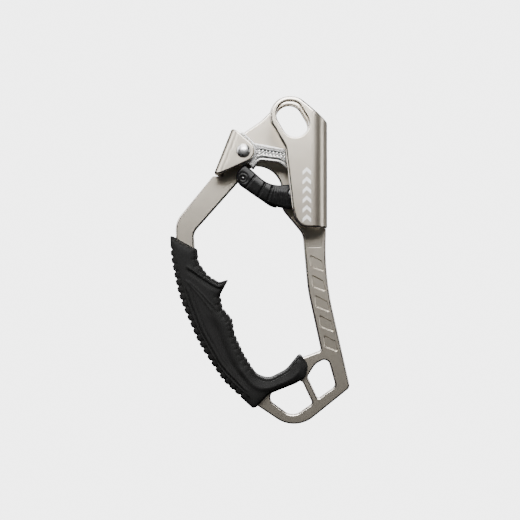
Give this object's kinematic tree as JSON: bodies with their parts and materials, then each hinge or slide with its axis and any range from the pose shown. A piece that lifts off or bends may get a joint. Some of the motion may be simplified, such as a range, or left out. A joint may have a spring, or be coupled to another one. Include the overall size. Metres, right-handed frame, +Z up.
{
  "type": "handled rope ascender",
  "caption": "Handled rope clamp: a folded aluminium loop with a rubber hand grip, a toothed rope cam on a riveted axle, and a thumb catch that locks the cam shut.",
  "frame": {"origin": "on the rope's centreline in the channel, level with the cam's axle", "axes": "+Z up along the rope, +X from the handle towards the closed side of the channel, -Y towards the front, where the axle's domed head is"},
  "size_m": [0.1074, 0.0318, 0.1941],
  "materials": {
    "aluminium": "bead-blasted and anodised, warm titanium grey, with polished bevels",
    "cam_steel": "cast steel, chrome plated",
    "rivet_steel": "stainless steel, bright",
    "spring_steel": "drawn spring wire",
    "bronze": "sintered bronze, plain",
    "catch_plastic": "moulded nylon, black, light sheen",
    "grip_rubber": "moulded rubber, black, matt, fine knurl on the toothed edge"
  },
  "bodies": {
    "handle": {"frame": "aluminium", "cam_axle": "rivet_steel", "cam_bush": "bronze", "cam_washer_front": "rivet_steel", "cam_washer_rear": "rivet_steel", "cam_spring": "spring_steel", "grip_liner": "grip_rubber", "grip_front_pad": "grip_rubber", "grip_rear_pad": "grip_rubber"},
    "cam_body": {"cam": "cam_steel", "catch_pin": "rivet_steel"},
    "catch_body": {"catch_lever": "catch_plastic", "catch_stop_pin": "rivet_steel", "catch_spring": "spring_steel"}
  },
  "joints": [
    {"name": "cam_pivot", "type": "hinge", "parent": "handle", "child": "cam_body", "pos_m": [-0.039, 0, 0], "axis": [0, 1, 0], "range_deg": [0, 55], "stiffness_Nm_per_rad": 0.06, "springref_deg": -45.84},
    {"name": "catch_pivot", "type": "hinge", "parent": "cam_body", "child": "catch_body", "pos_m": [-0.0107, 0, -0.0242], "axis": [0, 1, 0], "range_deg": [-40, 0]}
  ],
  "couplings": [
    {"joint": "catch_pivot", "follows": "cam_pivot", "ratio": -0.72}
  ]
}
